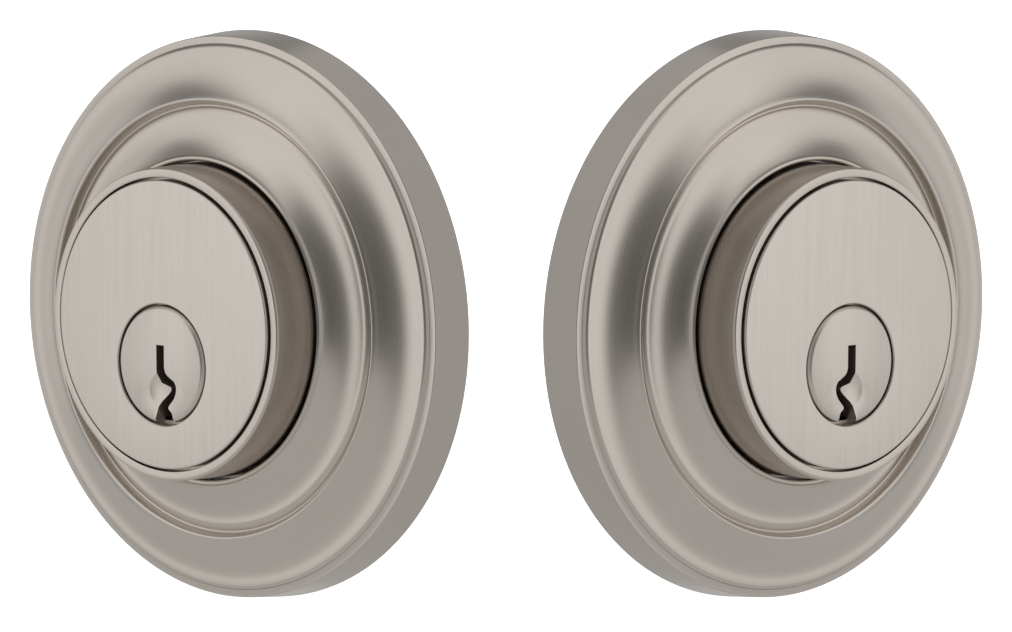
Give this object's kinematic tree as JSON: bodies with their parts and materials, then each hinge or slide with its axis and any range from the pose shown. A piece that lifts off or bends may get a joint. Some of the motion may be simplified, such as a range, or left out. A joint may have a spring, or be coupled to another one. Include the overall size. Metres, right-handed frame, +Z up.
{
  "type": "double cylinder deadbolt door lock",
  "caption": "Deadbolt lock keyed on both faces: stepped round rosettes with guard collars, pin tumbler cylinders and a drive-in bolt unit, set out as a kit.",
  "frame": {"origin": "middle of the bottom of the whole set, on the surface that the rosettes' rims and the bolt unit's nose rest on", "axes": "+Y away from the front, along the bolt unit; +Z up; +X to the right, from the outside half to the inside half"},
  "size_m": [0.1174, 0.1258, 0.0672],
  "materials": {
    "satin_nickel": "satin brushed nickel plate",
    "turned_brass": "machined brass",
    "zinc_plate": "bright zinc plated steel",
    "screw_steel": "plain machined steel",
    "spring_steel": "drawn spring wire"
  },
  "bodies": {
    "fixed_parts": {"outside_rosette": "satin_nickel", "outside_collar": "satin_nickel", "outside_cylinder_shell": "satin_nickel", "outside_chamber_cover": "turned_brass", "outside_retaining_ring": "spring_steel", "outside_mounting_plate": "zinc_plate", "outside_post_upper": "zinc_plate", "outside_post_lower": "zinc_plate", "outside_driver_pin_1": "screw_steel", "outside_pin_spring_1": "spring_steel", "outside_driver_pin_2": "screw_steel", "outside_pin_spring_2": "spring_steel", "outside_driver_pin_3": "screw_steel", "outside_pin_spring_3": "spring_steel", "outside_driver_pin_4": "screw_steel", "outside_pin_spring_4": "spring_steel", "outside_driver_pin_5": "screw_steel", "outside_pin_spring_5": "spring_steel", "inside_rosette": "satin_nickel", "inside_collar": "satin_nickel", "inside_cylinder_shell": "satin_nickel", "inside_chamber_cover": "turned_brass", "inside_retaining_ring": "spring_steel", "inside_mounting_plate": "zinc_plate", "inside_screw_upper": "screw_steel", "inside_screw_lower": "screw_steel", "inside_driver_pin_1": "screw_steel", "inside_pin_spring_1": "spring_steel", "inside_driver_pin_2": "screw_steel", "inside_pin_spring_2": "spring_steel", "inside_driver_pin_3": "screw_steel", "inside_pin_spring_3": "spring_steel", "inside_driver_pin_4": "screw_steel", "inside_pin_spring_4": "spring_steel", "inside_driver_pin_5": "screw_steel", "inside_pin_spring_5": "spring_steel", "bolt_nose": "satin_nickel", "bolt_case_left": "zinc_plate", "bolt_case_right": "zinc_plate", "case_rivet_front": "zinc_plate", "case_rivet_rear": "zinc_plate"},
    "outside_plug_train": {"outside_plug": "satin_nickel", "outside_plug_cap": "turned_brass", "outside_tailpiece": "screw_steel", "outside_bottom_pin_1": "turned_brass", "outside_bottom_pin_2": "turned_brass", "outside_bottom_pin_3": "turned_brass", "outside_bottom_pin_4": "turned_brass", "outside_bottom_pin_5": "turned_brass"},
    "inside_plug_train": {"inside_plug": "satin_nickel", "inside_plug_cap": "turned_brass", "inside_tailpiece": "screw_steel", "inside_bottom_pin_1": "turned_brass", "inside_bottom_pin_2": "turned_brass", "inside_bottom_pin_3": "turned_brass", "inside_bottom_pin_4": "turned_brass", "inside_bottom_pin_5": "turned_brass"},
    "hub": {"bolt_hub": "zinc_plate"},
    "bolt_bar": {"deadbolt": "satin_nickel", "saw_guard_rod": "screw_steel"}
  },
  "joints": [
    {"name": "outside_key_turn", "type": "hinge", "parent": "fixed_parts", "child": "outside_plug_train", "pos_m": [-0.03004, -0.03802, 0.029], "axis": [-0.6374, -0.7705, 0], "range_deg": [-90, 90]},
    {"name": "inside_key_turn", "type": "hinge", "parent": "fixed_parts", "child": "inside_plug_train", "pos_m": [0.03004, -0.03802, 0.029], "axis": [0.6374, -0.7705, 0], "range_deg": [-90, 90]},
    {"name": "hub_turn", "type": "hinge", "parent": "fixed_parts", "child": "hub", "pos_m": [-0.03004, 0.0029, 0.0081], "axis": [-1, 0, 0], "range_deg": [0, 90]},
    {"name": "bolt_throw", "type": "slide", "parent": "fixed_parts", "child": "bolt_bar", "axis": [0, 1, 0], "range_m": [0, 0.0254]}
  ],
  "couplings": [
    {"joint": "hub_turn", "follows": "bolt_throw", "rad_per_m": 61.842}
  ]
}
